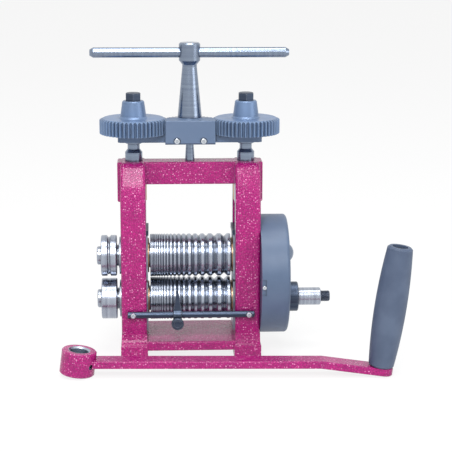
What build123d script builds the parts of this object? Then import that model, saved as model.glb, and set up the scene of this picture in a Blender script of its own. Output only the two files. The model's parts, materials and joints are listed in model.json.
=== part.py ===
# Jewellers rolling mill with graded wire rolls, side rollers, geared screw-down,
# reduction gearbox and a loose hand crank.
# Millimetres. X runs along the rolls, Y to the back, Z up.
# The origin is on the bench, midway between the four bench bolt holes.
from build123d import *
from math import acos, cos, pi, radians, sin, tan
import os

# ---- clearances
running_fit = 0.05      # radial, shaft turning in a bore
seat_fit = 0.02         # radial, fixed pin in a bore
slide_fit = 0.10        # each side of a sliding block
face_gap = 0.2          # between faces that turn against each other

# ---- rolls
roll_length = 90.0
roll_diameter = 48.0
nip_gap = 2.0           # between the crests at rest
lower_axis = 60.0       # height of the lower roll
groove_count = 18
first_pitch = 11.3      # widest groove, at the gearbox end
pitch_ratio = 0.885     # each groove to the one before it
groove_angle = 80.0
crest_share = 0.12      # flat crest, share of the pitch
crest_least = 0.3
journal_radius = 14.0
gear_seat_radius = 10.6
journal_end_play = 0.75  # journal past the end of its bush

# ---- frame casting
post_inner = 49.25
post_width = 28.0
post_depth = 76.0
frame_top = 218.5
shoulder_radius = 108.0
shoulder_turn = 30.0    # the post leans back through this angle
crown_radius = 9.0
post_edge = 3.5
rib_depth = 25.0        # cross beam and the ribs over the posts, front to back
beam_height = 25.2
rib_reach = 80.6        # the ribs' outer faces, from the centre
rib_drop = 44.5
rib_edge = 1.8

# ---- bearing windows, blocks and bushes
window_width = 44.0
cap_height = 44.5       # casting left above the window
block_nip_setback = 0.4  # block face behind the roll's crest
block_cover = 27.0      # upper block above its axis
block_inset = 1.6       # block face inboard of the post
block_boss_radius = 21.0
block_boss = 2.2        # proud of the post's outer face
bush_radius = 17.0
bush_flange_radius = 19.5
bush_flange = 1.4

# ---- base casting
foot_height = 16.0
foot_depth = 90.0
foot_spread = 1.0       # wider than the post, each side
pedestal_height = 28.0
cove_foot_inset = 1.0
cove_radius = 14.0
deck_top = 20.5
deck_thickness = 10.5
deck_depth = 86.0
deck_edge = 2.0
bench_hole_radius = 4.0
bench_hole_depth = 13.0
bench_hole_x = 70.5
bench_hole_y = 34.0
frame_bolt_x = 56.5
frame_bolt_y = 30.0
frame_bolt_radius = 3.0
frame_bolt_head_radius = 5.0
frame_bolt_head = 6.0
frame_bolt_recess = 7.0
frame_bolt_grip = 14.0  # thread in the post

# ---- screw-down gearing
gear_module = 1.5
screw_gear_teeth = 48
pinion_teeth = 35
pressure_angle = 25.0
tooth_backlash = 0.16
gear_bottom = 249.1
gear_thickness = 17.2
pinion_thickness = 15.2
gear_edge_radial = 4.0
gear_edge_height = 2.0
gear_hub_radius = 14.3
gear_hub_top_radius = 12.1
gear_hub_height = 19.0
hub_root_fillet = 2.0

# ---- adjusting screws
screw_radius = 9.6
screw_seat_radius = 8.0  # where the gear and the bridge ride
screw_neck_radius = 6.75
screw_flange = 2.4
screw_neck_drop = 9.8   # flange underside to the foot of the flare
screw_flare = 3.6
screw_foot_radius = 9.0
screw_foot_height = 5.2
screw_foot_neck = 6.0
nut_radius = 14.0
nut_height = 38.0
gear_bolt_flats = 16.0
gear_bolt_head = 8.8
gear_bolt_radius = 5.0
gear_bolt_length = 22.0
gear_bolt_edge = 1.0

# ---- lift keepers on the upper blocks
keeper_height = 5.6
keeper_depth = 40.0
keeper_inset = 2.6      # inboard of the post
keeper_screw_radius = 2.0
keeper_screw_head_radius = 3.5
keeper_screw_head = 2.2
keeper_screw_length = 8.0
keeper_screw_y = 15.5
keeper_screw_x = 70.0

# ---- bridge, guard and centre post
bridge_thickness = 8.3
bridge_half_length = 79.5
bridge_half_depth = 15.0
bridge_corner = 5.0
guard_half_width = 27.4
guard_front = 31.0
guard_wall = 2.5
guard_drop = 7.1        # below the bridge's top
guard_top_depth = 25.0
guard_rise = 0.4        # top flange above the pinion
guard_gear_gap = 0.8
guard_edge = 1.2
column_notch = 14.1
guard_screw_x = 14.5
guard_screw_drop = 4.3
guard_screw_radius = 2.0
guard_screw_length = 9.0
guard_screw_head_radius = 3.1
guard_screw_head = 1.9
guard_counterbore = 4.2
guard_counterbore_depth = 1.2
post_pin_radius = 4.1
post_pin_foot_radius = 5.3
post_pin_depth = 18.0
post_pin_reach = 12.0   # past the pinion's underside

# ---- handle
handle_top = 349.0
column_foot_radius = 13.3
column_neck_radius = 8.1
column_cap_radius = 11.7
column_cap = 19.4
column_taper = 4.6
column_neck = 2.6
column_straight = 3.4
column_edge = 1.4
bar_radius = 5.65
bar_length = 218.6
bar_drop = 10.8         # the bar's axis below the column's top
bar_end_length = 4.0
bar_end_radius = 3.4

# ---- side rollers on the left
side_roller_gap = 3.05  # post boss to roller
side_roller_width = 17.5
side_roller_radius = 23.0
side_roller_edge = 1.0
side_groove_radius = 2.0
side_hub_radius = 12.0
side_nut_radius = 10.4
side_nut_width = 4.8
side_nut_edge = 1.2
side_thread_radius = 8.0

# ---- gearbox
roll_gear_module = 3.0
roll_gear_teeth = 16
train_module = 2.0
roll_reduction_teeth = 31
lay_pinion_teeth = 19
lay_gear_teeth = 36
input_teeth = 14
train_backlash = 0.20
lay_angle = 71.35       # layshaft above the horizontal, seen from the right
layer_gap = 0.6
roll_gear_width = 7.8
train_gear_width = 6.4
lay_bush_radius = 9.0
lay_stud_radius = 6.0
lay_shoulder_radius = 8.0
lay_thread_radius = 4.0
dome_nut_radius = 10.2
dome_rise = 5.5
dome_cap = 2.5          # metal left past the stud's end
dome_nut_washer = 1.2
dome_nut_height = 10.4
cover_radius = 67.0
cover_height = 88.0     # drum's axis above the bench
cover_wall = 3.0
cover_depth = 31.25
cover_edge = 3.5
plate_thickness = 2.5
plate_rim = 5.0
plate_rim_width = 6.0
plate_slot_gap = 0.5
plate_screw_y = 30.0
plate_screw_rise = 38.0
plate_screw_radius = 2.5
plate_screw_head_radius = 4.6
plate_screw_head = 2.0
plate_screw_length = 14.0
cover_notch_height = 18.0
cover_notch_depth = 1.8
cover_notch_width = 5.0
cover_screw_radius = 1.5
cover_screw_head_radius = 2.3
cover_screw_head = 1.6
cover_screw_length = 8.0
collar_radius = 16.8
collar_length = 14.0
collar_edge = 1.0
spigot_radius = 13.0

# ---- input shaft
shaft_radius = 10.0
shaft_journal_radius = 10.6  # in the collar's bearing
shaft_relief = 1.0      # undercut beside the journal's shoulder
shaft_relief_radius = 9.6
shaft_reach = 26.0      # past the collar
shaft_edge = 1.0
stub_radius = 5.75
stub_length = 10.4
pilot_radius = 5.0
pilot_length = 11.0
pinion_seat_radius = 7.0
shaft_flat = 1.5        # for the crank's set screw
shaft_flat_lean = 6.0   # from straight up, towards the front

# ---- wire guide
rod_radius = 3.65
rod_half_length = 70.5
rod_height = 51.5
rod_seat = 0.5          # flat where the rod meets the posts
rod_screw_x = 64.3
rod_screw_radius = 2.0
rod_screw_length = 14.0
rod_screw_head_radius = 2.9
rod_screw_head = 1.8
guide_x = -15.2
guide_width = 9.4
guide_wall = 2.6
guide_split = 1.0
ear_drop = 13.0
ear_depth = 6.5
pointer_rise = 31.0
pointer_tip = 1.2
pointer_thickness = 3.0
knob_drop = 7.8
knob_radius = 6.9
knob_thickness = 5.5
knob_screw_radius = 2.0
knob_edge = 1.0

# ---- loose crank, lying in front of the mill
crank_length = 324.8
crank_tilt = 7.5        # leaning to the right on its grip end
crank_turn = -2.2       # seen from above
crank_x = -125.1
crank_y = -93.0
ring_radius = 18.85
ring_height = 26.4
ring_edge = 1.2
ring_mouth = 1.6        # chamfer at the bore's mouths
arm_width = 22.0
arm_thickness = 8.5
arm_tip = 13.5          # past the grip's axis
arm_level = 64.2        # straight end of the arm, measured back from the grip
arm_edge = 1.2
ring_screw_radius = 3.0
ring_screw_turn = -38.0
ring_screw_height = 12.0
grip_length = 133.5
grip_end_radius = 13.7
grip_radius = 17.2
grip_edge = 1.8
grip_recess_radius = 8.5
grip_recess = 7.0
grip_bolt_radius = 5.0
grip_bolt_head_radius = 7.4
grip_bolt_head = 4.5

# ---- worked out from the sizes above
upper_axis = lower_axis + roll_diameter + nip_gap
roll_end = roll_length / 2
post_outer = post_inner + post_width
half_post = post_depth / 2
half_window = window_width / 2
window_top = frame_top - cap_height
block_width = window_width - 2 * slide_fit
block_top = upper_axis + block_cover
boss_face = post_outer + block_boss
screw_x = gear_module * (screw_gear_teeth + pinion_teeth) / 2
bridge_top = gear_bottom - face_gap
bridge_bottom = bridge_top - bridge_thickness
flange_bottom = bridge_bottom - face_gap - screw_flange
screw_top = gear_bottom + gear_thickness + gear_hub_height - 1.5
gear_top = gear_bottom + gear_thickness
pinion_top = gear_bottom + pinion_thickness
journal_end = boss_face + journal_end_play
roller_inner = boss_face + side_roller_gap
roller_outer = roller_inner + side_roller_width
layer_1 = journal_end
layer_1_end = layer_1 + roll_gear_width
layer_2 = layer_1_end + layer_gap
layer_2_end = layer_2 + train_gear_width
layer_3 = layer_2_end + layer_gap
layer_3_end = layer_3 + train_gear_width
cover_face = post_outer + cover_depth
collar_face = cover_face + collar_length
lay_distance = train_module * (roll_reduction_teeth + lay_pinion_teeth) / 2
lay_y = lay_distance * cos(radians(lay_angle))
lay_z = lower_axis + lay_distance * sin(radians(lay_angle))
rod_y = -(half_post + rod_radius - rod_seat)
bar_height = handle_top - bar_drop
ring_foot = ring_radius - ring_edge
arm_reach = crank_length + arm_tip

os.makedirs("parts", exist_ok=True)


# ---- helpers
def along_x(x=0.0, y=0.0, z=0.0):
    """A place whose own Z runs along world X, its own X to the back and its own Y up."""
    return Plane(origin=(x, y, z), x_dir=(0, 1, 0), z_dir=(1, 0, 0)).location


def along_y(x=0.0, y=0.0, z=0.0):
    """A place whose own Z runs towards the front, its own X to the right and its own Y up."""
    return Plane(origin=(x, y, z), x_dir=(1, 0, 0), z_dir=(0, -1, 0)).location


def block(x, y, z):
    """A box from three (low, high) pairs."""
    size = [high - low for low, high in (x, y, z)]
    middle = [(high + low) / 2 for low, high in (x, y, z)]
    return Pos(*middle) * Box(*size)


def turned(outline, bore=0.0):
    """A body of revolution about Z from (height, radius) stations, with a bore."""
    low, high = outline[0][0], outline[-1][0]
    points = [(bore, low)] + [(radius, height) for height, radius in outline] + [(bore, high)]
    kept = [p for i, p in enumerate(points) if i == 0 or p != points[i - 1]]
    return revolve(Plane.XZ * make_face(Polyline(*kept, close=True)), Axis.Z)


def drum(radius, low, high, bore=0.0, edge=0.0):
    """A plain turned part from low to high, with both outer edges broken."""
    outline = [(low, radius - edge), (low + edge, radius), (high - edge, radius), (high, radius - edge)]
    if edge == 0.0:
        outline = [(low, radius), (high, radius)]
    return turned(outline, bore)


def mirrored(shape):
    return mirror(shape, Plane.YZ)


def involute_angle(slope):
    return tan(slope) - slope


def gear_face(teeth, module, start, backlash, steps=3):
    """A spur gear's outline: involute flanks in short chords, a tooth centred on the start angle."""
    pitch = module * teeth / 2
    root = pitch - 1.25 * module
    tip = pitch + module
    base = pitch * cos(radians(pressure_angle))
    half_tooth = pi / (2 * teeth) - backlash / (2 * pitch)
    half_base = half_tooth + involute_angle(radians(pressure_angle))
    lowest = max(base, root)
    flank = [(root, half_base)] if root < base else []
    for step in range(steps + 1):
        radius = lowest + (tip - lowest) * step / steps
        flank.append((radius, half_base - involute_angle(acos(min(1.0, base / radius)))))
    points = []
    for tooth in range(teeth):
        middle = radians(start) + 2 * pi * tooth / teeth
        points += [(r * cos(middle - a), r * sin(middle - a)) for r, a in flank]
        points += [(r * cos(middle + a), r * sin(middle + a)) for r, a in reversed(flank)]
    return make_face(Polyline(*points, close=True))


def spur_gear(teeth, module, start, width, bore, backlash, steps=3):
    """A spur gear from Z = 0 up, bored through."""
    return extrude(gear_face(teeth, module, start, backlash, steps), width) - drum(bore, -1, width + 1)


def gap_towards(teeth, angle):
    """The start angle that turns the middle of a gap, not a tooth, to this angle."""
    return angle + 180 / teeth


def cap_screw(radius, length, head_radius, head, edge=0.0):
    """A round-headed screw along Z: its head on Z = 0 and above, its shank below."""
    outline = [(-length, radius), (0, radius), (0, head_radius), (head - edge, head_radius)]
    if edge:
        outline.append((head, head_radius - edge))
    return turned(outline)


def on_both_sides(shape):
    return shape + mirrored(shape)


def at_corners(shape, x, y):
    """Four copies at plus and minus x and y."""
    return Compound([Pos(sx * x, sy * y, 0) * shape for sx in (-1, 1) for sy in (-1, 1)])


# ---- frame and base
def post_outline():
    """Half a post's side outline: straight leg, slow shoulder curve, rounded crown."""
    turn = radians(shoulder_turn)
    crown_rise = crown_radius * (1 - cos(pi / 2 - turn))
    shoulder = frame_top - crown_rise - shoulder_radius * sin(turn)
    leg = Line((half_post, pedestal_height), (half_post, shoulder))
    curve = JernArc(leg @ 1, (0, 1), shoulder_radius, shoulder_turn)
    crown = JernArc(curve @ 1, curve % 1, crown_radius, 90 - shoulder_turn)
    top = Line(crown @ 1, (0, frame_top))
    foot = Line((0, pedestal_height), leg @ 0)
    half = make_face([leg, curve, crown, top, Line((0, frame_top), (0, pedestal_height)), foot])
    return half + mirror(half, Plane.YZ)


def post():
    outline = along_x(post_inner) * post_outline()
    solid = extrude(outline, post_width)
    upright = [e for e in solid.edges() if e.center().Z > pedestal_height + post_edge
               and abs(abs(e.center().X - post_inner - post_width / 2) - post_width / 2) < 0.01]
    return fillet(upright, post_edge)


def mill_frame():
    """One casting: two posts with open-footed bearing windows, the cross beam and the side ribs."""
    half_rib = rib_depth / 2
    beam = block((-rib_reach, rib_reach), (-half_rib, half_rib), (frame_top - beam_height, frame_top))
    beam = fillet(beam.edges(), rib_edge)
    rib = block((post_inner + post_edge, rib_reach), (-half_rib, half_rib),
                (frame_top - rib_drop, frame_top))
    rib = fillet(rib.edges().sort_by(Axis.X)[-4:], rib_edge)
    window = block((post_inner - 1, rib_reach + 1), (-half_window, half_window),
                   (pedestal_height - 1, window_top))
    nut_bore = Pos(screw_x, 0, 0) * drum(nut_radius + seat_fit, window_top - 1, window_top + nut_height)
    screw_bore = Pos(screw_x, 0, 0) * drum(screw_radius + 3 * slide_fit, window_top, frame_top + 1)
    bolt_hole = drum(frame_bolt_radius + seat_fit, pedestal_height - 1, pedestal_height + frame_bolt_grip)
    bolt_holes = [Pos(frame_bolt_x, side * frame_bolt_y, 0) * bolt_hole for side in (-1, 1)]
    rod_hole = along_y(rod_screw_x, rod_y, rod_height) * drum(rod_screw_radius + seat_fit,
                                                             -rod_screw_length, 0)
    side = post() + rib - window - nut_bore - screw_bore - bolt_holes[0] - bolt_holes[1] - rod_hole
    plate_hole = drum(plate_screw_radius + seat_fit, -plate_screw_length, 1)
    frame = side + mirrored(side) + beam - nut_bore - screw_bore - mirrored(nut_bore) - mirrored(screw_bore)
    for y, z in plate_screw_places():
        frame -= along_x(post_outer + plate_thickness, y, z) * plate_hole
    return frame - drum(post_pin_foot_radius + seat_fit, frame_top - post_pin_depth, frame_top + 1)


def base_casting():
    """Two plinth feet with coved pedestals, joined by a raised deck."""
    half_foot = foot_depth / 2
    half_deck = deck_depth / 2
    foot = block((post_inner - foot_spread, post_outer + foot_spread), (-half_foot, half_foot),
                 (0, foot_height))
    foot = fillet(foot.edges().filter_by(Axis.Z) + foot.edges().group_by(Axis.Z)[-1], foot_spread)
    start = (half_foot - cove_foot_inset, foot_height)
    end = (half_post, pedestal_height)
    cove = RadiusArc(start, end, cove_radius)
    half = make_face([cove, Line(end, (0, pedestal_height)), Line((0, pedestal_height), (0, foot_height)),
                      Line((0, foot_height), start)])
    pedestal = extrude(along_x(post_inner) * (half + mirror(half, Plane.YZ)), post_width)
    deck = block((-post_inner - foot_spread, post_inner + foot_spread), (-half_deck, half_deck),
                 (deck_top - deck_thickness, deck_top))
    deck = fillet(deck.edges().filter_by(Axis.X), deck_edge)
    bench_hole = drum(bench_hole_radius, -1, bench_hole_depth)
    bolt_hole = (drum(frame_bolt_radius + seat_fit, -1, pedestal_height + 1)
                 + drum(frame_bolt_head_radius + slide_fit, -1, frame_bolt_recess))
    return (deck + on_both_sides(foot + pedestal)
            - at_corners(bench_hole, bench_hole_x, bench_hole_y)
            - at_corners(bolt_hole, frame_bolt_x, frame_bolt_y))


def frame_bolts():
    shank = pedestal_height + frame_bolt_grip - frame_bolt_recess - slide_fit
    bolt = cap_screw(frame_bolt_radius, shank, frame_bolt_head_radius, frame_bolt_head)
    return at_corners(Pos(0, 0, frame_bolt_recess) * Rot(180, 0, 0) * bolt, frame_bolt_x, frame_bolt_y)


def centre_post():
    """The pin under the handle column, flared where it stands in the beam."""
    foot = frame_top - post_pin_depth
    return turned([(foot, post_pin_foot_radius), (frame_top + 1, post_pin_foot_radius),
                   (bridge_bottom - 1, post_pin_radius), (gear_bottom + post_pin_reach, post_pin_radius)])


# ---- bearings, all drawn for the right-hand post
def lower_block():
    top = lower_axis + roll_diameter / 2 - block_nip_setback
    half = block_width / 2
    body = block((post_inner - block_inset, post_outer), (-half, half), (pedestal_height, top))
    boss = along_x(post_outer, 0, lower_axis) * drum(block_boss_radius, -1, block_boss)
    return body + boss - along_x(0, 0, lower_axis) * drum(bush_radius + seat_fit, 0, rib_reach + 9)


def upper_block():
    bottom = upper_axis - roll_diameter / 2 + block_nip_setback
    half = block_width / 2
    body = block((post_inner - block_inset, post_outer), (-half, half), (bottom, block_top))
    boss = along_x(post_outer, 0, upper_axis) * drum(block_boss_radius, -1, block_boss)
    foot_recess = Pos(screw_x, 0, block_top) * drum(screw_foot_radius + 3 * slide_fit,
                                                    -screw_foot_height - 2 * face_gap, 1)
    screw_hole = drum(keeper_screw_radius + seat_fit, block_top - keeper_screw_length, block_top + 1)
    holes = [Pos(keeper_screw_x, side * keeper_screw_y, 0) * screw_hole for side in (-1, 1)]
    return (body + boss - along_x(0, 0, upper_axis) * drum(bush_radius + seat_fit, 0, rib_reach + 9)
            - foot_recess - holes[0] - holes[1])


def bush(axis_height):
    inner_face = post_inner - block_inset
    return along_x(0, 0, axis_height) * turned(
        [(inner_face - bush_flange, bush_flange_radius), (inner_face, bush_flange_radius),
         (inner_face, bush_radius), (boss_face, bush_radius)], journal_radius + running_fit)


def lift_keeper():
    """A plate over the screw's foot, slotted from the outside so that it slides on."""
    half = keeper_depth / 2
    plate = block((post_inner - keeper_inset, post_outer - 1), (-half, half),
                  (block_top, block_top + keeper_height))
    slot_half = screw_foot_neck + 3 * slide_fit
    slot = block((screw_x, post_outer + 1), (-slot_half, slot_half),
                 (block_top - 1, block_top + keeper_height + 1))
    slot += Pos(screw_x, 0, 0) * drum(slot_half, block_top - 1, block_top + keeper_height + 1)
    hole = drum(keeper_screw_radius + seat_fit, block_top - 1, block_top + keeper_height + 1)
    for side in (-1, 1):
        plate -= Pos(keeper_screw_x, side * keeper_screw_y, 0) * hole
    return plate - slot


def keeper_screws():
    shank = keeper_height + keeper_screw_length - slide_fit
    screw = cap_screw(keeper_screw_radius, shank, keeper_screw_head_radius, keeper_screw_head)
    return at_corners(Pos(0, 0, block_top + keeper_height) * screw, keeper_screw_x, keeper_screw_y)


def screw_nut():
    """The bronze nut that the adjusting screw turns in, pressed up into the post."""
    return Pos(screw_x, 0, 0) * drum(nut_radius, window_top, window_top + nut_height - slide_fit,
                                     screw_radius + running_fit)


# ---- screw-down, all drawn for the right-hand post
def adjusting_screw():
    foot = block_top - screw_foot_height - face_gap
    keeper_top = block_top + keeper_height + face_gap
    flare_foot = flange_bottom - screw_neck_drop
    bolt_bore = gear_bolt_length + 1
    screw = turned([(foot, screw_foot_radius), (block_top - face_gap, screw_foot_radius),
                    (block_top - face_gap, screw_foot_neck), (keeper_top, screw_foot_neck),
                    (keeper_top, screw_radius), (flare_foot, screw_radius),
                    (flare_foot + screw_flare, screw_neck_radius), (flange_bottom, screw_neck_radius),
                    (flange_bottom, screw_radius), (flange_bottom + screw_flange, screw_radius),
                    (flange_bottom + screw_flange, screw_seat_radius), (screw_top, screw_seat_radius)])
    return Pos(screw_x, 0, 0) * (screw - drum(gear_bolt_radius + seat_fit, screw_top - bolt_bore, screw_top + 1))


def screw_gear(start):
    """A spur gear with bevelled tooth ends and a tapered hub with a fillet at its foot."""
    tip = gear_module * (screw_gear_teeth + 2) / 2
    teeth = extrude(gear_face(screw_gear_teeth, gear_module, start, tooth_backlash), gear_thickness)
    blank = turned([(0, tip - gear_edge_height / 2), (gear_edge_height / 2, tip + 1),
                    (gear_thickness - gear_edge_height, tip + 0.01), (gear_thickness, tip - gear_edge_radial)])
    hub_top = gear_thickness + gear_hub_height
    hub = turned([(gear_thickness - 1, gear_hub_radius + hub_root_fillet),
                  (gear_thickness, gear_hub_radius + hub_root_fillet),
                  (gear_thickness + hub_root_fillet, gear_hub_radius),
                  (hub_top - 1, gear_hub_top_radius), (hub_top, gear_hub_top_radius - 1)])
    gear = (teeth & blank) + hub - drum(screw_seat_radius + seat_fit, -1, hub_top + 1)
    return Pos(screw_x, 0, gear_bottom) * gear


def gear_bolt():
    seat = gear_bottom + gear_thickness + gear_hub_height
    head = extrude(RegularPolygon(gear_bolt_flats / 2, 6, major_radius=False), gear_bolt_head)
    corner = gear_bolt_flats / 2 / cos(pi / 6)
    head &= turned([(0, corner), (gear_bolt_head - gear_bolt_edge, corner),
                    (gear_bolt_head, corner - 2 * gear_bolt_edge)])
    bolt = head + drum(gear_bolt_radius, -gear_bolt_length, 1)
    return Pos(screw_x, 0, seat) * Rot(0, 0, 30) * bolt


def bridge_plate():
    """The plate that carries both screws and the pinion, wider in the middle for the guard."""
    rounded = RectangleRounded(2 * bridge_half_length, 2 * bridge_half_depth, bridge_corner)
    front = guard_front - guard_wall
    tongue = Pos(0, -front / 2) * Rectangle(2 * guard_half_width, front)
    plate = extrude(Pos(0, 0, bridge_bottom) * (rounded + tongue), bridge_thickness)
    bore = Pos(screw_x, 0, 0) * drum(screw_seat_radius + running_fit, bridge_bottom - 1, bridge_top + 1)
    plate -= on_both_sides(bore)
    plate -= drum(post_pin_radius + running_fit, bridge_bottom - 1, bridge_top + 1)
    hole = drum(guard_screw_radius + seat_fit, -guard_screw_length, 1)
    for side in (-1, 1):
        plate -= along_y(side * guard_screw_x, -front, bridge_top - guard_screw_drop) * hole
    return plate


def pinion_guard():
    """A front wall and a top flange in one, notched for the column."""
    top = pinion_top + guard_rise + guard_wall
    bottom = bridge_top - guard_drop
    back = guard_top_depth - guard_front
    wall = block((-guard_half_width, guard_half_width), (-guard_front, -guard_front + guard_wall), (bottom, top))
    flange = block((-guard_half_width, guard_half_width), (-guard_front, back), (top - guard_wall, top))
    guard = wall + flange
    front_edges = [e for e in guard.edges() if abs(e.center().Y + guard_front) < 0.01]
    guard = fillet(front_edges, guard_edge)
    guard -= drum(column_notch, top - guard_wall - 1, top + 1)
    gear_tip = gear_module * (screw_gear_teeth + 2) / 2
    gear_room = Pos(screw_x, 0, 0) * drum(gear_tip + guard_gear_gap, bottom - 1, top + 1)
    guard -= on_both_sides(gear_room)
    face = -guard_front
    height = bridge_top - guard_screw_drop
    for side in (-1, 1):
        guard -= along_y(side * guard_screw_x, face, height) * drum(guard_counterbore,
                                                                    -guard_counterbore_depth, 1)
        guard -= along_y(side * guard_screw_x, face, height) * drum(guard_screw_radius + seat_fit,
                                                                    -guard_wall - 1, 1)
    return guard


def guard_screws():
    face = -guard_front + guard_counterbore_depth
    shank = guard_wall - guard_counterbore_depth + guard_screw_length - slide_fit
    screw = cap_screw(guard_screw_radius, shank, guard_screw_head_radius, guard_screw_head, 0.6)
    return Compound([along_y(side * guard_screw_x, face, bridge_top - guard_screw_drop) * screw
                     for side in (-1, 1)])


# ---- handle
def handle_pinion():
    pinion = spur_gear(pinion_teeth, gear_module, 0, pinion_thickness, post_pin_radius + running_fit,
                       tooth_backlash)
    return Pos(0, 0, gear_bottom) * pinion


def handle_column():
    """A tapering column on the pinion, waisted under the cap that holds the cross bar."""
    neck_foot = handle_top - column_cap - column_taper - column_neck
    column = turned([(pinion_top, column_foot_radius), (pinion_top + column_straight, column_foot_radius),
                     (neck_foot, column_neck_radius), (neck_foot + column_neck, column_neck_radius),
                     (handle_top - column_cap, column_cap_radius),
                     (handle_top - column_edge, column_cap_radius),
                     (handle_top, column_cap_radius - column_edge)])
    cross_hole = along_x(0, 0, bar_height) * drum(bar_radius + seat_fit, -20, 20)
    return column - cross_hole


def tommy_bar():
    half = bar_length / 2
    end = half - bar_end_length
    return along_x(0, 0, bar_height) * turned([(-half, bar_end_radius), (-end, bar_radius),
                                               (end, bar_radius), (half, bar_end_radius)])


# ---- rolls
def groove_outline():
    """Barrel stations from the left end to the right: graded V-grooves, widest on the right."""
    radius = roll_diameter / 2
    slope = tan(radians(groove_angle / 2))
    grooved = sum(first_pitch * pitch_ratio ** n for n in range(groove_count))
    x = roll_end - (roll_length - grooved) / 2
    stations = [(roll_end, radius)]
    for n in range(groove_count):
        pitch = first_pitch * pitch_ratio ** n
        half_mouth = (pitch - crest_share * pitch - crest_least) / 2
        middle = x - pitch / 2
        stations += [(middle + half_mouth, radius), (middle, radius - half_mouth / slope),
                     (middle - half_mouth, radius)]
        x -= pitch
    return [*reversed(stations)]


def roll(shaft_outline):
    """A grooved barrel with journals, the gearbox end given by the outline."""
    left = [(-roller_outer - side_nut_width, side_thread_radius), (-roller_outer, side_thread_radius),
            (-roller_outer, gear_seat_radius), (-roller_inner, gear_seat_radius),
            (-roller_inner, side_hub_radius), (-journal_end, side_hub_radius),
            (-journal_end, journal_radius), (-roll_end, journal_radius)]
    barrel = [(-roll_end, roll_diameter / 2), *groove_outline(), (roll_end, journal_radius),
              (journal_end, journal_radius)]
    return turned(left + barrel + shaft_outline)


def upper_roll():
    seat = [(journal_end, gear_seat_radius), (layer_1_end, gear_seat_radius)]
    return along_x(0, 0, upper_axis) * roll(seat)


def lower_roll():
    """Its gearbox end is bored for the input shaft's pilot."""
    seat = [(journal_end, gear_seat_radius), (layer_2_end, gear_seat_radius)]
    pilot_bore = drum(pilot_radius + running_fit, layer_2_end - pilot_length - 1, layer_2_end + 1)
    return along_x(0, 0, lower_axis) * (roll(seat) - pilot_bore)


def side_roller(axis_height, grooved):
    """A disc roller with broken edges, the upper one with a half-round groove."""
    roller = drum(side_roller_radius, -roller_outer, -roller_inner, gear_seat_radius + seat_fit,
                  side_roller_edge)
    if grooved:
        middle = -(roller_outer + roller_inner) / 2
        ring = Plane.XZ * Pos(side_roller_radius, middle) * Circle(side_groove_radius)
        roller -= revolve(ring, Axis.Z)
    return along_x(0, 0, axis_height) * roller


def side_nut(axis_height):
    return along_x(0, 0, axis_height) * turned(
        [(-roller_outer - side_nut_width, side_nut_radius - side_nut_edge),
         (-roller_outer - side_nut_width + side_nut_edge, side_nut_radius),
         (-roller_outer, side_nut_radius)], side_thread_radius + seat_fit)


# ---- gearbox, its gears seen from the right with angles from the back towards the top
def train_gear(teeth, module, start, x, width, y, z, bore):
    return along_x(x, y, z) * spur_gear(teeth, module, start, width, bore, train_backlash, 2)


def upper_roll_gear():
    return train_gear(roll_gear_teeth, roll_gear_module, gap_towards(roll_gear_teeth, -90), layer_1,
                      roll_gear_width, 0, upper_axis, gear_seat_radius + seat_fit)


def lower_roll_gear():
    return train_gear(roll_gear_teeth, roll_gear_module, 90, layer_1, roll_gear_width, 0, lower_axis,
                      gear_seat_radius + seat_fit)


def reduction_gear():
    return train_gear(roll_reduction_teeth, train_module, lay_angle, layer_2, train_gear_width, 0,
                      lower_axis, gear_seat_radius + seat_fit)


def layshaft_pinion():
    start = gap_towards(lay_pinion_teeth, lay_angle + 180)
    return train_gear(lay_pinion_teeth, train_module, start, layer_2, train_gear_width, lay_y, lay_z,
                      lay_bush_radius + seat_fit)


def layshaft_gear():
    return train_gear(lay_gear_teeth, train_module, lay_angle + 180, layer_2_end,
                      layer_3_end - layer_2_end, lay_y, lay_z, lay_bush_radius + seat_fit)


def layshaft_bush():
    return along_x(0, lay_y, lay_z) * drum(lay_bush_radius, layer_2, layer_3_end,
                                           lay_stud_radius + running_fit)


def input_pinion():
    return train_gear(input_teeth, train_module, gap_towards(input_teeth, lay_angle), layer_3,
                      train_gear_width, 0, lower_axis, pinion_seat_radius + seat_fit)


def layshaft_stud():
    """A shouldered stud that hangs inside the cover and is held by the dome nut outside."""
    shoulder = layer_3_end + face_gap
    wall = cover_face - cover_wall
    return along_x(0, lay_y, lay_z) * turned(
        [(layer_2, lay_stud_radius), (shoulder, lay_stud_radius), (shoulder, lay_shoulder_radius),
         (wall, lay_shoulder_radius), (wall, lay_thread_radius),
         (cover_face + dome_nut_height - dome_cap, lay_thread_radius)])


def dome_nut():
    washer = drum(dome_nut_radius + dome_nut_washer, 0, dome_nut_washer)
    body = drum(dome_nut_radius, 0, dome_nut_height - dome_rise)
    dome_radius = (dome_nut_radius ** 2 + dome_rise ** 2) / (2 * dome_rise)
    dome = Pos(0, 0, dome_nut_height - dome_radius) * Sphere(dome_radius)
    dome &= drum(dome_nut_radius, dome_nut_height - dome_rise - 1, dome_nut_height + 1)
    nut = washer + body + dome - drum(lay_thread_radius + seat_fit, -1, dome_nut_height - dome_cap)
    return along_x(cover_face, lay_y, lay_z) * nut


def plate_screw_places():
    """(Y, Z) of the screws that hold the back plate to the right-hand post."""
    return [(side_y * plate_screw_y, cover_height + side_z * plate_screw_rise)
            for side_y in (-1, 1) for side_z in (-1, 1)]


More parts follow.
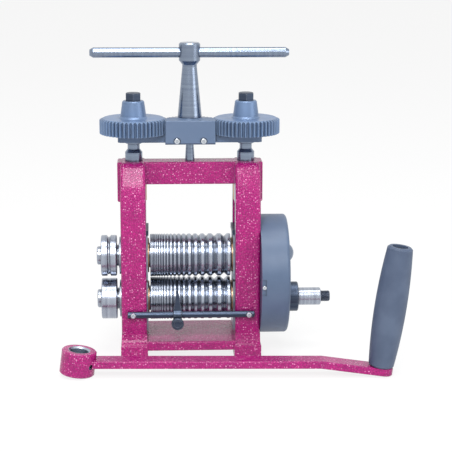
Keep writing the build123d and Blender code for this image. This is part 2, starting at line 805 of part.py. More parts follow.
def gearbox_back_plate():
    """A disc with a raised rim that the drum fits over, slotted for the bearing blocks."""
    radius = cover_radius - cover_wall - slide_fit
    plate = turned([(0, radius), (plate_rim, radius), (plate_rim, radius - plate_rim_width),
                    (plate_thickness, radius - plate_rim_width), (plate_thickness, 0)])
    plate = along_x(post_outer, 0, cover_height) * plate
    slot_half = half_window + plate_slot_gap
    plate -= block((post_outer - 1, post_outer + plate_thickness + 1), (-slot_half, slot_half),
                   (pedestal_height + plate_slot_gap, block_top + plate_slot_gap))
    for y, z in plate_screw_places():
        plate -= along_x(post_outer, y, z) * turned(
            [(-1, plate_screw_radius + seat_fit),
             (plate_thickness - plate_screw_head, plate_screw_radius + seat_fit),
             (plate_thickness, plate_screw_head_radius + seat_fit),
             (plate_thickness + 1, plate_screw_head_radius + 1)])
    middle = post_outer + cover_notch_width / 2
    for turn in (0, 180):
        hole = drum(cover_screw_radius + seat_fit, -cover_screw_length - 2, 1)
        plate -= Pos(middle, 0, cover_height) * Rot(0, 0, turn) * along_y(0, -cover_radius, 0) * hole
    return plate


def back_plate_screws():
    screw = turned([(-plate_screw_length + plate_thickness + slide_fit, plate_screw_radius),
                    (plate_thickness - plate_screw_head, plate_screw_radius),
                    (plate_thickness, plate_screw_head_radius)])
    return Compound([along_x(post_outer, y, z) * screw for y, z in plate_screw_places()])


def gearbox_cover():
    """A deep round drum with a rounded outer edge, bored for the stud and the collar."""
    outer = turned([(0, cover_radius), (cover_depth, cover_radius)])
    outer = fillet(outer.edges().sort_by(Axis.Z)[-1], cover_edge)
    inner = drum(cover_radius - cover_wall, -1, cover_depth - cover_wall)
    cover = along_x(post_outer, 0, cover_height) * (outer - inner)
    cover -= along_x(0, 0, lower_axis) * drum(spigot_radius + seat_fit, post_outer, cover_face + 1)
    cover -= along_x(0, lay_y, lay_z) * drum(lay_thread_radius + seat_fit, post_outer, cover_face + 1)
    face = cover_radius - cover_notch_depth
    half = cover_notch_height / 2
    for side in (-1, 1):
        near, far = sorted((side * face, side * (cover_radius + 1)))
        cover -= block((post_outer - 1, post_outer + cover_notch_width), (near, far),
                       (cover_height - half, cover_height + half))
    middle = post_outer + cover_notch_width / 2
    for turn in (0, 180):
        hole = drum(cover_screw_radius + seat_fit, -cover_screw_length, 1)
        cover -= Pos(middle, 0, cover_height) * Rot(0, 0, turn) * along_y(0, -cover_radius, 0) * hole
    return cover


def cover_screws():
    face = cover_radius - cover_notch_depth
    screw = cap_screw(cover_screw_radius, cover_screw_length - cover_notch_depth, cover_screw_head_radius,
                      cover_screw_head, 0.5)
    middle = post_outer + cover_notch_width / 2
    return Compound([Pos(middle, 0, cover_height) * Rot(0, 0, turn) * along_y(0, -face, 0) * screw
                     for turn in (0, 180)])


def input_bush():
    """The dark collar outside the cover, with a spigot through its wall."""
    return along_x(0, 0, lower_axis) * turned(
        [(cover_face - cover_wall, spigot_radius), (cover_face, spigot_radius), (cover_face, collar_radius),
         (collar_face - collar_edge, collar_radius), (collar_face, collar_radius - collar_edge)],
        shaft_journal_radius + running_fit)


def input_shaft():
    """Pilot in the lower roll, pinion seat, journal, crank seat with a flat, and a stub."""
    end = collar_face + shaft_reach
    step = layer_3_end + face_gap
    seat = collar_face + shaft_relief
    shaft = turned([(layer_2_end - pilot_length, pilot_radius), (layer_2_end + face_gap, pilot_radius),
                    (layer_2_end + face_gap, pinion_seat_radius), (step, pinion_seat_radius),
                    (step, shaft_journal_radius), (collar_face, shaft_journal_radius),
                    (collar_face, shaft_relief_radius), (seat, shaft_relief_radius),
                    (seat, shaft_radius), (end - shaft_edge, shaft_radius), (end, shaft_radius - shaft_edge),
                    (end, stub_radius), (end + stub_length - shaft_edge, stub_radius),
                    (end + stub_length, stub_radius - shaft_edge)])
    flat = block((-shaft_radius - 1, shaft_radius + 1), (shaft_radius - shaft_flat, shaft_radius + 1),
                 (seat, end + 1))
    return along_x(0, 0, lower_axis) * (shaft - Rot(0, 0, shaft_flat_lean) * flat)


# ---- wire guide
def guide_bar():
    """A round rod across the posts, flatted at its seats and spot-faced for its screws."""
    rod = along_x(0, rod_y, rod_height) * drum(rod_radius, -rod_half_length, rod_half_length, edge=0.6)
    behind = (-half_post, 0)
    tall = (rod_height - 9, rod_height + 9)
    face = rod_y - rod_radius + rod_seat
    hole = drum(rod_screw_radius + seat_fit, -9, 9)
    for side in (-1, 1):
        low, high = sorted((side * post_inner, side * (rod_half_length + 1)))
        rod -= block((low, high), behind, tall)
        spot = (side * rod_screw_x - rod_screw_head_radius - rod_seat,
                side * rod_screw_x + rod_screw_head_radius + rod_seat)
        rod -= block(spot, (face - 9, face), tall)
        rod -= along_y(side * rod_screw_x, rod_y, rod_height) * hole
    return rod


def guide_bar_screws():
    face = rod_y - rod_radius + rod_seat
    screw = cap_screw(rod_screw_radius, rod_screw_length - 2 * rod_radius, rod_screw_head_radius,
                      rod_screw_head, 0.5)
    return Compound([along_y(side * rod_screw_x, face, rod_height) * screw for side in (-1, 1)])


def wire_guide():
    """A split collar on the rod with a tapering pointer above and two clamp ears below."""
    half = guide_width / 2
    outer = rod_radius + guide_wall
    collar = along_x(guide_x, rod_y, rod_height) * drum(outer, -half, half, edge=0.6)
    pointer = make_face(Polyline((-half, 0), (half, 0), (pointer_tip / 2, pointer_rise),
                                 (-pointer_tip / 2, pointer_rise), close=True))
    pointer = extrude(along_y(guide_x, rod_y + pointer_thickness / 2, rod_height) * pointer, pointer_thickness)
    ears = block((guide_x - half, guide_x + half), (rod_y - ear_depth, rod_y + ear_depth),
                 (rod_height - ear_drop, rod_height))
    slit = block((guide_x - half - 1, guide_x + half + 1), (rod_y - guide_split / 2, rod_y + guide_split / 2),
                 (rod_height - ear_drop - 1, rod_height))
    bore = along_x(guide_x, rod_y, rod_height) * drum(rod_radius + running_fit, -half - 1, half + 1)
    screw_hole = along_y(guide_x, rod_y, rod_height - knob_drop) * drum(knob_screw_radius + running_fit, -9, 9)
    return collar + pointer + ears - slit - bore - screw_hole


def wire_guide_knob():
    shank = 2 * ear_depth
    knob = turned([(-shank, knob_screw_radius), (0, knob_screw_radius), (0, knob_radius - knob_edge),
                   (knob_edge, knob_radius), (knob_thickness - knob_edge, knob_radius),
                   (knob_thickness, knob_radius - knob_edge)])
    return along_y(guide_x, rod_y - ear_depth - face_gap, rod_height - knob_drop) * knob


# ---- crank, drawn with its ring standing on Z = 0 and its arm along X, then laid down
def laid_down(shape):
    """Tilted so that the ring's lower edge and the arm's tip both meet the bench."""
    rest = ring_foot * sin(radians(crank_tilt))
    return Pos(crank_x, crank_y, rest) * Rot(0, 0, crank_turn) * Rot(0, crank_tilt, 0) * shape


def arm_end_height():
    """Underside of the arm's level end, whose tip just meets the bench."""
    return (arm_reach - ring_foot) * tan(radians(crank_tilt))


def crank_arm():
    """A bored ring, an arm that rises away from it, and a level rounded end for the grip."""
    level = arm_end_height()
    knee = crank_length - arm_level
    start = level - knee * tan(radians(crank_tilt))
    side = make_face(Polyline((0, start), (knee, level), (arm_reach, level),
                              (arm_reach, level + arm_thickness), (knee, level + arm_thickness),
                              (0, start + arm_thickness), close=True))
    bar = extrude(Pos(0, arm_width / 2, 0) * (Plane.XZ * side), arm_width)
    tall = ring_height + level + arm_thickness
    end = arm_reach - arm_width / 2
    plan = Pos(end / 2, 0) * Rectangle(end, arm_width) + Pos(end, 0) * Circle(arm_width / 2)
    bar &= extrude(plan, tall)
    long_edges = [e for e in bar.edges() if abs(abs(e.center().Y) - arm_width / 2) < 0.01
                  and abs(e.tangent_at(0.5).X) > 0.9]
    bar = fillet(long_edges, arm_edge)
    ring = drum(ring_radius, 0, ring_height, edge=ring_edge)
    bore = shaft_radius + running_fit
    mouth = turned([(-1, bore + ring_mouth + 1), (0, bore + ring_mouth), (ring_mouth, bore),
                    (ring_height - ring_mouth, bore), (ring_height, bore + ring_mouth),
                    (ring_height + 1, bore + ring_mouth + 1)])
    screw_hole = (Pos(0, 0, ring_screw_height) * Rot(0, 0, ring_screw_turn)
                  * along_x() * drum(ring_screw_radius + seat_fit, 0, ring_radius + 1))
    bolt_hole = Pos(crank_length, 0, 0) * drum(grip_bolt_radius + seat_fit, 0, tall)
    return laid_down(bar + ring - mouth - screw_hole - bolt_hole)


def crank_set_screw():
    screw = drum(ring_screw_radius, shaft_radius + running_fit + 0.3, ring_radius - 0.4, edge=0.5)
    socket = Pos(0, 0, ring_radius - 3) * extrude(RegularPolygon(1.5, 6), 3)
    return laid_down(Pos(0, 0, ring_screw_height) * Rot(0, 0, ring_screw_turn) * along_x() * (screw - socket))


def grip_foot():
    return arm_end_height() + arm_thickness + face_gap


def crank_grip():
    """A barrel grip, fullest above the middle, with a recess for its bolt's head."""
    swell = Spline((grip_end_radius, grip_edge), (grip_radius, grip_length * 0.52),
                   (grip_end_radius, grip_length - grip_edge))
    edges = [swell, Line(swell @ 1, (grip_end_radius - grip_edge, grip_length)),
             Line((grip_end_radius - grip_edge, grip_length), (0, grip_length)),
             Line((0, grip_length), (0, 0)), Line((0, 0), (grip_end_radius - grip_edge, 0)),
             Line((grip_end_radius - grip_edge, 0), swell @ 0)]
    grip = revolve(Plane.XZ * make_face(edges), Axis.Z)
    grip -= drum(grip_bolt_radius + running_fit, -1, grip_length + 1)
    grip -= drum(grip_recess_radius, grip_length - grip_recess, grip_length + 1)
    return laid_down(Pos(crank_length, 0, grip_foot()) * grip)


def grip_bolt():
    """A long bolt through the grip, its head in the recess, screwed into the arm."""
    seat = grip_length - grip_recess + face_gap
    foot = -face_gap - arm_thickness + 1
    bolt = turned([(foot, grip_bolt_radius), (seat, grip_bolt_radius), (seat, grip_bolt_head_radius),
                   (seat + grip_bolt_head - 1, grip_bolt_head_radius),
                   (seat + grip_bolt_head, grip_bolt_head_radius - 1)])
    return laid_down(Pos(crank_length, 0, grip_foot()) * bolt)


# ---- every piece under its name
pieces = {
    "mill_frame": mill_frame(),
    "base_casting": base_casting(),
    "frame_bolts": frame_bolts(),
    "centre_post": centre_post(),
    "bridge_plate": bridge_plate(),
    "pinion_guard": pinion_guard(),
    "guard_screws": guard_screws(),
    "handle_pinion": handle_pinion(),
    "handle_column": handle_column(),
    "tommy_bar": tommy_bar(),
    "keeper_screws": keeper_screws(),
    "upper_roll": upper_roll(),
    "lower_roll": lower_roll(),
    "upper_side_roller": side_roller(upper_axis, True),
    "lower_side_roller": side_roller(lower_axis, False),
    "upper_side_nut": side_nut(upper_axis),
    "lower_side_nut": side_nut(lower_axis),
    "upper_roll_gear": upper_roll_gear(),
    "lower_roll_gear": lower_roll_gear(),
    "reduction_gear": reduction_gear(),
    "layshaft_pinion": layshaft_pinion(),
    "layshaft_gear": layshaft_gear(),
    "layshaft_bush": layshaft_bush(),
    "layshaft_stud": layshaft_stud(),
    "dome_nut": dome_nut(),
    "input_pinion": input_pinion(),
    "input_shaft": input_shaft(),
    "input_bush": input_bush(),
    "gearbox_back_plate": gearbox_back_plate(),
    "back_plate_screws": back_plate_screws(),
    "gearbox_cover": gearbox_cover(),
    "cover_screws": cover_screws(),
    "guide_bar": guide_bar(),
    "guide_bar_screws": guide_bar_screws(),
    "wire_guide": wire_guide(),
    "wire_guide_knob": wire_guide_knob(),
    "crank_arm": crank_arm(),
    "crank_set_screw": crank_set_screw(),
    "crank_grip": crank_grip(),
    "grip_bolt": grip_bolt(),
}

# the same piece on the right-hand post and, mirrored, on the left
paired = {
    "lower_block": lower_block(),
    "upper_block": upper_block(),
    "lower_bush": bush(lower_axis),
    "upper_bush": bush(upper_axis),
    "lift_keeper": lift_keeper(),
    "screw_nut": screw_nut(),
    "adjusting_screw": adjusting_screw(),
    "gear_bolt": gear_bolt(),
}
for name, shape in paired.items():
    pieces["right_" + name] = shape
    pieces["left_" + name] = mirrored(shape)

# the pinion has a tooth at 0 degrees and, with an odd count, a gap at 180
pieces["right_screw_gear"] = screw_gear(gap_towards(screw_gear_teeth, 180))
pieces["left_screw_gear"] = mirrored(screw_gear(180))

for name, shape in pieces.items():
    export_step(shape, "parts/" + name + ".step")
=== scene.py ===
import bpy
import bmesh
import json
from math import cos, pi, radians, sin
from mathutils import Euler, Matrix, Vector


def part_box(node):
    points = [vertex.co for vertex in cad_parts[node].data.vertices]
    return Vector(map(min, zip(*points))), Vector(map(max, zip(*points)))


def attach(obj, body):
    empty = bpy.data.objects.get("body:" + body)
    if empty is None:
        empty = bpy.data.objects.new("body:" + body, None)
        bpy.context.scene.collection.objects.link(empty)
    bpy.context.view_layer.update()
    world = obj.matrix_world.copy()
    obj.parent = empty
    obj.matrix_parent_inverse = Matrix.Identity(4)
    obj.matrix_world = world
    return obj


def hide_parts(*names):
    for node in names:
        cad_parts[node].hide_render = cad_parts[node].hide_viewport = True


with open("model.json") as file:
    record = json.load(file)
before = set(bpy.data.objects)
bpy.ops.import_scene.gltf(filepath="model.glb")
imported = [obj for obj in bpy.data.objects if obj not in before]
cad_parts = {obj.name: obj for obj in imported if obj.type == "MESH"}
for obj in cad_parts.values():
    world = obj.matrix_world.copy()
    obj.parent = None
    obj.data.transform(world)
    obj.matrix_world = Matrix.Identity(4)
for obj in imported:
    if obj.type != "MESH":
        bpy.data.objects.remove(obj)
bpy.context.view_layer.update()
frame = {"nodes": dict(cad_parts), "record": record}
nodes = frame["nodes"]
scene = bpy.context.scene
print("frame loaded,", len(nodes), "nodes")


# shorthand for wiring nodes
def addNode(tree, kind, settings=None, **inputs):
    node = tree.nodes.new("ShaderNode" + kind)
    for name, value in (settings or {}).items():
        setattr(node, name, value)
    for name, value in inputs.items():
        plug(tree, value, node.inputs[name.replace("_", " ")])
    return node


def plug(tree, value, socket):
    if isinstance(value, bpy.types.NodeSocket):
        tree.links.new(value, socket)
    else:
        socket.default_value = value


def math(tree, operation, *values, clamp=False):
    node = addNode(tree, "Math", {"operation": operation, "use_clamp": clamp})
    for value, socket in zip(values, node.inputs):
        plug(tree, value, socket)
    return node.outputs[0]


def vectorMath(tree, operation, *values):
    node = addNode(tree, "VectorMath", {"operation": operation})
    for value, socket in zip(values, node.inputs):
        plug(tree, value, socket)
    return node.outputs["Value" if operation in ("LENGTH", "DOT_PRODUCT") else "Vector"]


def blendColour(tree, amount, under, over):
    node = addNode(tree, "Mix", {"data_type": "RGBA"})
    plug(tree, amount, node.inputs[0])
    plug(tree, under, node.inputs[6])
    plug(tree, over, node.inputs[7])
    return node.outputs[2]


def blendValue(tree, amount, under, over):
    node = addNode(tree, "Mix", {"data_type": "FLOAT"})
    plug(tree, amount, node.inputs[0])
    plug(tree, under, node.inputs[2])
    plug(tree, over, node.inputs[3])
    return node.outputs[0]


def remap(tree, value, low, high, newLow=0.0, newHigh=1.0):
    node = addNode(tree, "MapRange", {"clamp": True})
    for number, socket in zip((value, low, high, newLow, newHigh), node.inputs):
        plug(tree, number, socket)
    return node.outputs[0]


def newGroup(name, inputs, outputs):
    tree = bpy.data.node_groups.new(name, "ShaderNodeTree")
    for label, kind, value in inputs:
        socket = tree.interface.new_socket(label, in_out="INPUT", socket_type="NodeSocket" + kind)
        if value is not None:
            socket.default_value = value
    for label, kind in outputs:
        tree.interface.new_socket(label, in_out="OUTPUT", socket_type="NodeSocket" + kind)
    return tree, tree.nodes.new("NodeGroupInput").outputs, tree.nodes.new("NodeGroupOutput").inputs


def useGroup(tree, group, **inputs):
    node = tree.nodes.new("ShaderNodeGroup")
    node.node_tree = group
    for name, value in inputs.items():
        plug(tree, value, node.inputs[name])
    return node.outputs


# edge mask where a rounded normal leaves the true one, broken up by noise: rubbed corners, and on the enamel
# also a painted edge highlight
edgeWear, given, result = newGroup("edgeWear",
                                   [("Radius", "Float", 0.0006), ("Amount", "Float", 1.0),
                                    ("Breakup", "Float", 0.5)], [("Mask", "Float")])
rounded = addNode(edgeWear, "Bevel", {"samples": 6}, Radius=given["Radius"])
surface = addNode(edgeWear, "NewGeometry")
same = vectorMath(edgeWear, "DOT_PRODUCT", rounded.outputs[0], surface.outputs["Normal"])
bend = math(edgeWear, "MULTIPLY", math(edgeWear, "SUBTRACT", 1.0, same), 6.0, clamp=True)
patches = addNode(edgeWear, "TexNoise", Vector=addNode(edgeWear, "TexCoord").outputs["Object"],
                  Scale=420.0, Detail=4.0)
kept = remap(edgeWear, patches.outputs[0], math(edgeWear, "MULTIPLY", given["Breakup"], 0.55), 0.72)
edgeWear.links.new(math(edgeWear, "MULTIPLY", math(edgeWear, "MULTIPLY", bend, kept), given["Amount"],
                        clamp=True), result["Mask"])

# hammertone enamel: round pools with sharp valleys, and pale specks painted in as glints
hammerPools, given, result = newGroup("hammerPools",
                                      [("Pool", "Float", 0.003), ("Fleck", "Float", 0.0011)],
                                      [("Height", "Float"), ("Valley", "Float"), ("Flecks", "Float"),
                                       ("Tone", "Float")])
place = addNode(hammerPools, "TexCoord").outputs["Object"]
wander = addNode(hammerPools, "TexNoise", Vector=place, Scale=160.0, Detail=2.0)
drift = vectorMath(hammerPools, "SCALE", wander.outputs["Color"], (0, 0, 0))
drift.node.inputs["Scale"].default_value = 0.0022
moved = vectorMath(hammerPools, "ADD", place, drift)
poolScale = math(hammerPools, "DIVIDE", 1.0, given["Pool"])
pools = addNode(hammerPools, "TexVoronoi", {"feature": "SMOOTH_F1"}, Vector=moved, Scale=poolScale,
                Smoothness=0.35)
cracks = addNode(hammerPools, "TexVoronoi", {"feature": "DISTANCE_TO_EDGE"}, Vector=moved, Scale=poolScale)
dome = math(hammerPools, "SUBTRACT", 1.0, math(hammerPools, "POWER", pools.outputs["Distance"], 1.6))
valley = remap(hammerPools, cracks.outputs["Distance"], 0.0, 0.16, 1.0, 0.0)
glintCells = addNode(hammerPools, "TexVoronoi", {"feature": "F1"}, Vector=place,
                 Scale=math(hammerPools, "DIVIDE", 1.0, given["Fleck"]))
glintSpots = remap(hammerPools, glintCells.outputs["Distance"], 0.20, 0.42, 1.0, 0.0)
chosen = addNode(hammerPools, "SeparateColor", Color=glintCells.outputs["Color"]).outputs[0]
rare = remap(hammerPools, chosen, 0.66, 0.86)
tone = addNode(hammerPools, "TexNoise", Vector=place, Scale=45.0, Detail=3.0)
hammerPools.links.new(dome, result["Height"])
hammerPools.links.new(valley, result["Valley"])
hammerPools.links.new(math(hammerPools, "MULTIPLY", glintSpots, rare), result["Flecks"])
hammerPools.links.new(tone.outputs[0], result["Tone"])

# fine grain of a satin skin, in metres
fineGrain, given, result = newGroup("fineGrain", [("Grain", "Float", 0.0004)],
                                    [("Height", "Float"), ("Tone", "Float")])
place = addNode(fineGrain, "TexCoord").outputs["Object"]
grains = addNode(fineGrain, "TexNoise", Vector=place, Scale=math(fineGrain, "DIVIDE", 1.0, given["Grain"]),
                 Detail=3.0, Roughness=0.6)
clouds = addNode(fineGrain, "TexNoise", Vector=place, Scale=38.0, Detail=4.0)
fineGrain.links.new(grains.outputs[0], result["Height"])
fineGrain.links.new(clouds.outputs[0], result["Tone"])

# lines left by a turning or grinding tool, along one measured distance
toolLines, given, result = newGroup("toolLines", [("Along", "Float", 0.0), ("Pitch", "Float", 0.0003)],
                                    [("Height", "Float"), ("Bands", "Float")])
steps = math(toolLines, "DIVIDE", given["Along"], given["Pitch"])
fine = addNode(toolLines, "TexNoise", {"noise_dimensions": "1D"}, W=steps, Scale=1.0, Detail=2.0)
broad = addNode(toolLines, "TexNoise", {"noise_dimensions": "1D"}, W=steps, Scale=0.09, Detail=2.0)
toolLines.links.new(fine.outputs[0], result["Height"])
toolLines.links.new(broad.outputs[0], result["Bands"])

# finger marks and thin oil, as a change of gloss
handling, given, result = newGroup("handling", [("Size", "Float", 0.03)], [("Smudge", "Float")])
place = addNode(handling, "TexCoord").outputs["Object"]
marks = addNode(handling, "TexNoise", Vector=place, Scale=math(handling, "DIVIDE", 1.0, given["Size"]),
                Detail=5.0, Roughness=0.65, Distortion=0.4)
handling.links.new(remap(handling, marks.outputs[0], 0.38, 0.68), result["Smudge"])

# painted shade: colour darkened where faces meet, from ambient occlusion
paintedCornerShade, given, result = newGroup("paintedCornerShade", [("Reach", "Float", 0.004)], [("Mask", "Float")])
near = addNode(paintedCornerShade, "AmbientOcclusion", {"samples": 6}, Distance=given["Reach"])
paintedCornerShade.links.new(remap(paintedCornerShade, near.outputs["AO"], 0.45, 0.95, 1.0, 0.0), result["Mask"])
print("shared finishes ready")


def newMaterial(name):
    material = bpy.data.materials.new(name)
    material.use_nodes = True
    tree = material.node_tree
    return material, tree, tree.nodes["Principled BSDF"]


def raiseSurface(tree, shader, height, strength, distance):
    bump = addNode(tree, "Bump", Height=height, Strength=strength, Distance=distance)
    tree.links.new(bump.outputs[0], shader.inputs["Normal"])


def dress(material, *names):
    for name in names:
        for place in nodes[name].material_slots:
            place.material = material


# magenta enamel, with bare machined steel where the mask says so
enamel = {
    "body": (0.42, 0.006, 0.170, 1),
    "deep": (0.19, 0.002, 0.095, 1),
    # pale pink of the painted glints and painted edge highlights
    "paintedHighlight": (0.88, 0.34, 0.60, 1),
    "bare": (0.40, 0.46, 0.54, 1),
    "pool": 0.0028,
    "glintCellSize": 0.0021,
    "coat": 0.30,
    "coatRoughness": 0.12,
    "shine": 0.25,      # specular level under the coat
    "gloss": (0.24, 0.33),      # clean and handled
    "bareGloss": 0.34,
    "bareBand": (0.42, 0.46, 0.53, 1),
    "relief": (0.80, 0.0008),   # strength and depth of the pools
    "machinedDepth": 0.0022,    # how far bare steel reaches in from the blocks' faces
    "boreRim": 0.0019,          # bare steel round the crank's bore
}


def enamelMaterial(name, bareMask=None, deeper=0.0):
    material, tree, shader = newMaterial(name)
    pools = useGroup(tree, hammerPools, Pool=enamel["pool"], Fleck=enamel["glintCellSize"])
    worn = useGroup(tree, edgeWear, Radius=0.0010, Amount=0.35, Breakup=0.4)
    paintedShade = useGroup(tree, paintedCornerShade, Reach=0.006)
    marks = useGroup(tree, handling, Size=0.05)
    colour = blendColour(tree, remap(tree, pools["Tone"], 0.35, 0.65, 0.0, 0.35), enamel["body"],
                         enamel["deep"])
    colour = blendColour(tree, math(tree, "MULTIPLY", pools["Valley"], 0.75), colour, enamel["deep"])
    # painted glints: pale specks standing in for lamp sparkle on the hammered skin
    colour = blendColour(tree, math(tree, "MULTIPLY", pools["Flecks"], 0.80), colour, enamel["paintedHighlight"])
    # edges painted pale pink: part rubbed wear, part painted edge highlight
    colour = blendColour(tree, worn["Mask"], colour, enamel["paintedHighlight"])
    # painted shade: enamel darkened towards its deep colour where faces meet
    colour = blendColour(tree, math(tree, "MULTIPLY", paintedShade["Mask"], 0.45), colour, enamel["deep"])
    gloss = blendValue(tree, marks["Smudge"], *enamel["gloss"])
    height = math(tree, "ADD", pools["Height"], math(tree, "MULTIPLY", pools["Valley"], -0.35))
    if bareMask is not None:
        mask = bareMask(tree)
        position = addNode(tree, "TexCoord").outputs["Object"]
        lines = useGroup(tree, toolLines, Along=addNode(tree, "SeparateXYZ", Vector=position).outputs[2],
                         Pitch=0.0005)
        bareTone = blendColour(tree, lines["Bands"], enamel["bare"], enamel["bareBand"])
        colour = blendColour(tree, mask, colour, bareTone)
        gloss = blendValue(tree, mask, gloss, enamel["bareGloss"])
        height = blendValue(tree, mask, height, math(tree, "MULTIPLY", lines["Height"], 0.1))
        tree.links.new(mask, shader.inputs["Metallic"])
        tree.links.new(math(tree, "MULTIPLY", math(tree, "SUBTRACT", 1.0, mask), enamel["coat"]),
                       shader.inputs["Coat Weight"])
    else:
        shader.inputs["Coat Weight"].default_value = enamel["coat"]
    tree.links.new(colour, shader.inputs["Base Color"])
    tree.links.new(gloss, shader.inputs["Roughness"])
    shader.inputs["Coat Roughness"].default_value = enamel["coatRoughness"]
    shader.inputs["Specular IOR Level"].default_value = enamel["shine"]
    raiseSurface(tree, shader, height, *enamel["relief"])
    return material


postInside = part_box("left_lower_block")[1].x  # inboard faces of the left blocks


def machinedPosts(tree):  # the posts' inner faces below the beam
    geometry = addNode(tree, "NewGeometry")
    place = addNode(tree, "SeparateXYZ", Vector=addNode(tree, "TexCoord").outputs["Object"])
    facing = addNode(tree, "SeparateXYZ", Vector=geometry.outputs["True Normal"])
    sideways = math(tree, "GREATER_THAN", math(tree, "ABSOLUTE", facing.outputs[0]), 0.98)
    across = math(tree, "LESS_THAN", math(tree, "ABSOLUTE", place.outputs[0]),
                  -postInside + enamel["machinedDepth"])
    return math(tree, "MULTIPLY", sideways, across)


dress(enamelMaterial("castingEnamel", machinedPosts), "mill_frame")
dress(enamelMaterial("baseEnamel"), "base_casting")

crankMount = [m for m in frame["record"]["mounts"] if m["name"] == "crank_bore"][0]
boreMiddle, boreAxis = Vector(crankMount["pos_m"]), Vector(crankMount["axis"])
boreRadius = crankMount["dims"]["r_mm"] / 1000


def bareBore(tree):  # steel inside the crank's bore and on its chamfers
    position = addNode(tree, "TexCoord").outputs["Object"]
    offset = vectorMath(tree, "SUBTRACT", position, boreMiddle)
    away = vectorMath(tree, "LENGTH", vectorMath(tree, "CROSS_PRODUCT", offset, boreAxis))
    return math(tree, "LESS_THAN", away, boreRadius + enamel["boreRim"])


dress(enamelMaterial("crankEnamel", bareBore), "crank_arm")
print("enamel done")


# slate satin finish of the cover, guard, bridge and gears
slate = {
    "body": (0.068, 0.106, 0.180, 1),
    "pale": (0.100, 0.145, 0.232, 1),
    "worn": (0.30, 0.36, 0.44, 1),
    # colour of the painted shade where faces meet
    "paintedShade": (0.03, 0.04, 0.06, 1),
}


def slateMaterial(name, metallic, roughness, wear, grain=0.0005, lift=0.0):
    material, tree, shader = newMaterial(name)
    skin = useGroup(tree, fineGrain, Grain=grain)
    worn = useGroup(tree, edgeWear, Radius=0.0006, Amount=wear, Breakup=0.5)
    paintedShade = useGroup(tree, paintedCornerShade, Reach=0.003)
    marks = useGroup(tree, handling, Size=0.035)
    base = [channel * (1 + lift) for channel in slate["body"][:3]] + [1]
    colour = blendColour(tree, remap(tree, skin["Tone"], 0.35, 0.7, 0.0, 0.5), base, slate["pale"])
    colour = blendColour(tree, worn["Mask"], colour, slate["worn"])
    # painted shade where faces meet
    colour = blendColour(tree, math(tree, "MULTIPLY", paintedShade["Mask"], 0.5), colour, slate["paintedShade"])
    tree.links.new(colour, shader.inputs["Base Color"])
    shader.inputs["Metallic"].default_value = metallic
    tree.links.new(blendValue(tree, marks["Smudge"], roughness, roughness + 0.10), shader.inputs["Roughness"])
    raiseSurface(tree, shader, skin["Height"], 0.30, 0.00015)
    return material


dress(slateMaterial("coverSlate", 0.0, 0.40, 0.35), "gearbox_cover", "gearbox_back_plate")
dress(slateMaterial("guardSlate", 0.0, 0.46, 0.40, lift=0.20), "pinion_guard", "bridge_plate")
dress(slateMaterial("gearSlate", 0.35, 0.34, 1.0, lift=1.1), "left_screw_gear", "right_screw_gear")
print("slate done")


# steels: colour, gloss and the direction of the tool's lines
# the dark colour here is the painted shade where faces meet
steel = {"worn": (0.85, 0.88, 0.92, 1), "paintedShade": (0.03, 0.035, 0.05, 1), "relief": 0.00004}
metals = {}


def steelMaterial(name, colour, dark, roughness, axis, pitch=0.0003, shadeAmount=0.35, bump=0.25, wear=0.3):
    material, tree, shader = newMaterial(name)
    position = addNode(tree, "TexCoord").outputs["Object"]
    along = addNode(tree, "SeparateXYZ", Vector=position).outputs[axis]
    lines = useGroup(tree, toolLines, Along=along, Pitch=pitch)
    marks = useGroup(tree, handling, Size=0.02)
    paintedShade = useGroup(tree, paintedCornerShade, Reach=0.0035)
    worn = useGroup(tree, edgeWear, Radius=0.0004, Amount=wear, Breakup=0.2)
    tone = blendColour(tree, remap(tree, lines["Bands"], 0.3, 0.7), colour, dark)
    tone = blendColour(tree, worn["Mask"], tone, steel["worn"])
    # painted shade where faces meet
    tone = blendColour(tree, math(tree, "MULTIPLY", paintedShade["Mask"], shadeAmount), tone, steel["paintedShade"])
    tree.links.new(tone, shader.inputs["Base Color"])
    shader.inputs["Metallic"].default_value = 1.0
    gloss = math(tree, "ADD", blendValue(tree, marks["Smudge"], roughness, roughness + 0.07),
                 math(tree, "MULTIPLY", lines["Bands"], 0.05))
    tree.links.new(gloss, shader.inputs["Roughness"])
    raiseSurface(tree, shader, lines["Height"], bump, steel["relief"])
    metals[name] = material
    return material


chrome, chromeDark = (0.24, 0.29, 0.37, 1), (0.19, 0.23, 0.31, 1)
ground, groundDark = (0.42, 0.46, 0.53, 1), (0.30, 0.33, 0.40, 1)
cut, cutDark = (0.36, 0.38, 0.43, 1), (0.25, 0.27, 0.31, 1)
bronze, bronzeDark = (0.50, 0.30, 0.17, 1), (0.36, 0.20, 0.11, 1)
zinc, zincDark = (0.66, 0.70, 0.75, 1), (0.52, 0.56, 0.62, 1)
oxide, oxideDark = (0.070, 0.090, 0.130, 1), (0.045, 0.060, 0.095, 1)
dress(steelMaterial("columnChrome", chrome, chromeDark, 0.20, 2, bump=0.05), "handle_column", "centre_post",
      "left_adjusting_screw", "right_adjusting_screw")
dress(steelMaterial("barChrome", chrome, chromeDark, 0.20, 0, bump=0.05), "tommy_bar", "dome_nut")
